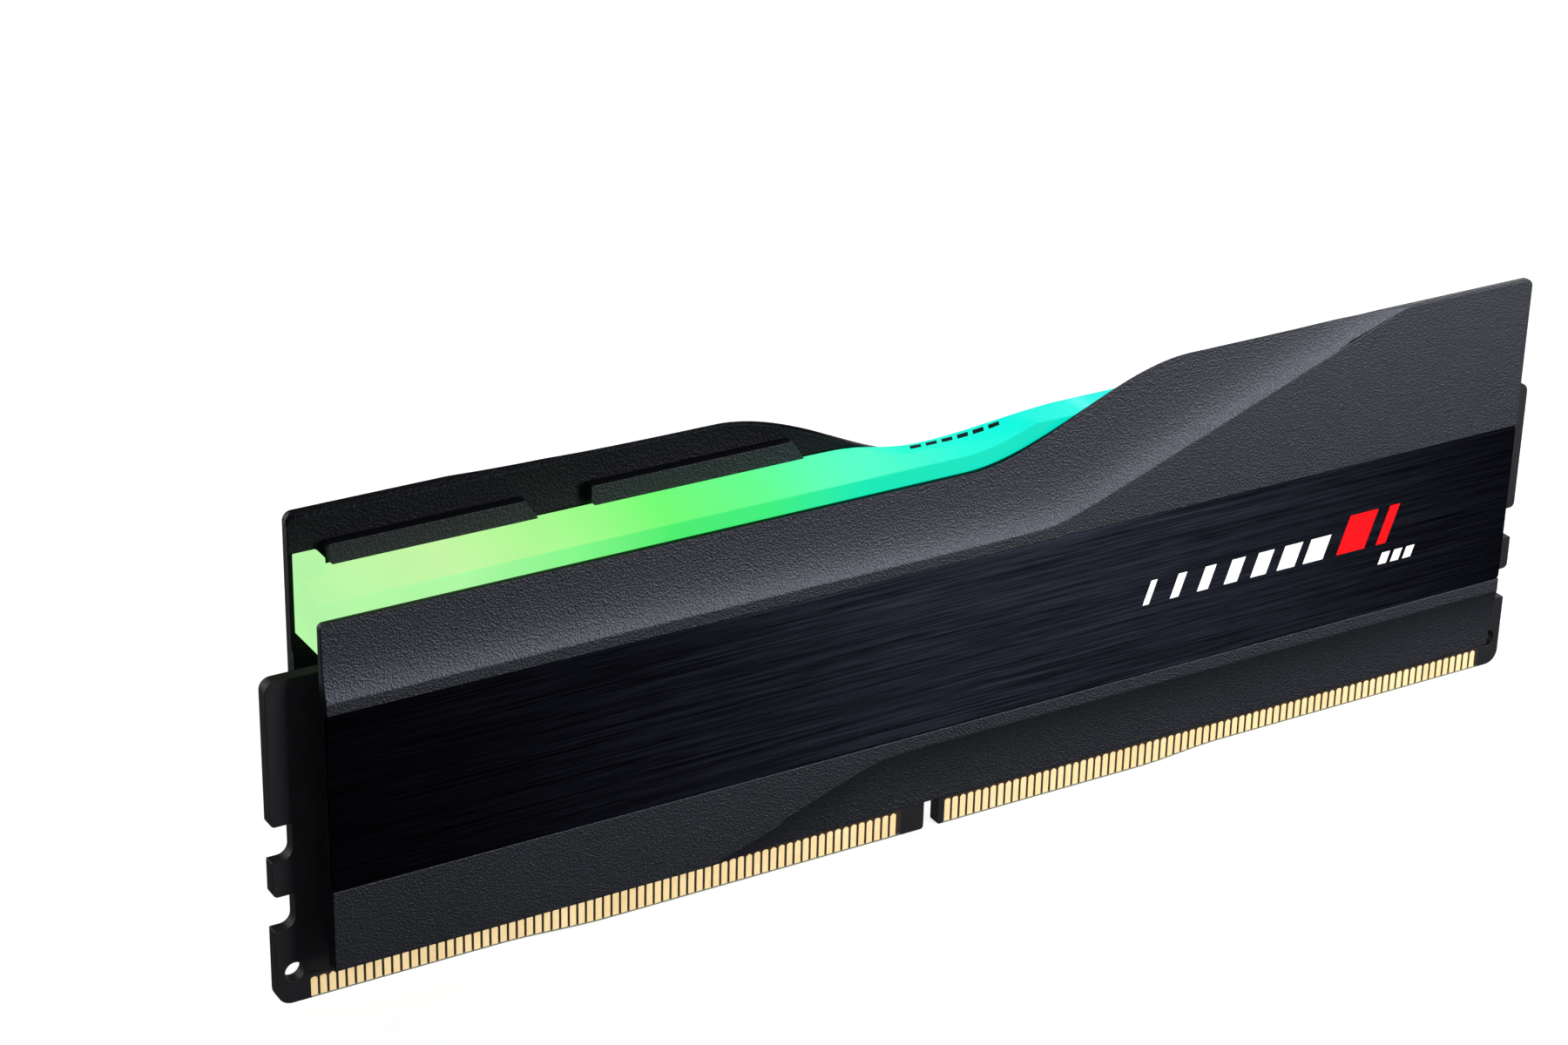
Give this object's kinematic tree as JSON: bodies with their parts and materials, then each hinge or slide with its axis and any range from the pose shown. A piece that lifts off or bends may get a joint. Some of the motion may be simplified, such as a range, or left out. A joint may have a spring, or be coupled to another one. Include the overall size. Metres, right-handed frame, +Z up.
{
  "type": "desktop memory module",
  "caption": "Card-edge memory module: notched circuit board between two interlocking stepped heat spreaders, with a brushed panel on each and a translucent light bar along the top.",
  "frame": {"origin": "middle of the card edge's lowest stretch, on the board's mid-plane, where it bottoms in its socket", "axes": "+X along the board, -Y towards the front spreader, +Z up out of the socket"},
  "size_m": [0.1334, 0.0076, 0.044],
  "materials": {
    "solder_mask": "black solder mask over FR-4",
    "gold": "gold-plated contacts",
    "chip_plastic": "black epoxy moulding",
    "ferrite": "pressed metal powder, matt grey",
    "ceramic": "tan fired ceramic with tinned ends",
    "resistor": "black glazed ceramic",
    "led": "white housing with a clear lens",
    "thermal_pad": "soft silicone pad",
    "coated_aluminium": "fine-grained charcoal coating",
    "brushed_aluminium": "black anodised, brushed lengthwise",
    "light_diffuser": "translucent, lit from inside",
    "adhesive": "white foam tape",
    "label": "satin silver sticker, blank"
  },
  "bodies": {
    "root": {"circuit_board": "solder_mask", "front_contacts": "gold", "rear_contacts": "gold", "memory_chip_1": "chip_plastic", "memory_chip_2": "chip_plastic", "memory_chip_3": "chip_plastic", "memory_chip_4": "chip_plastic", "memory_chip_5": "chip_plastic", "memory_chip_6": "chip_plastic", "memory_chip_7": "chip_plastic", "memory_chip_8": "chip_plastic", "power_management_chip": "chip_plastic", "power_inductors": "ferrite", "power_capacitors": "ceramic", "presence_detect_hub": "chip_plastic", "lighting_controller": "chip_plastic", "lighting_leds": "led", "decoupling_capacitors": "ceramic", "resistor_arrays": "resistor", "left_memory_thermal_pad": "thermal_pad", "right_memory_thermal_pad": "thermal_pad", "power_chip_thermal_pad": "thermal_pad", "front_thermal_pad": "thermal_pad", "front_heat_spreader": "coated_aluminium", "rear_heat_spreader": "coated_aluminium", "front_brushed_panel": "brushed_aluminium", "rear_brushed_panel": "brushed_aluminium", "light_bar": "light_diffuser", "front_bar_adhesive": "adhesive", "rear_bar_adhesive": "adhesive", "rear_label": "label"}
  },
  "joints": []
}
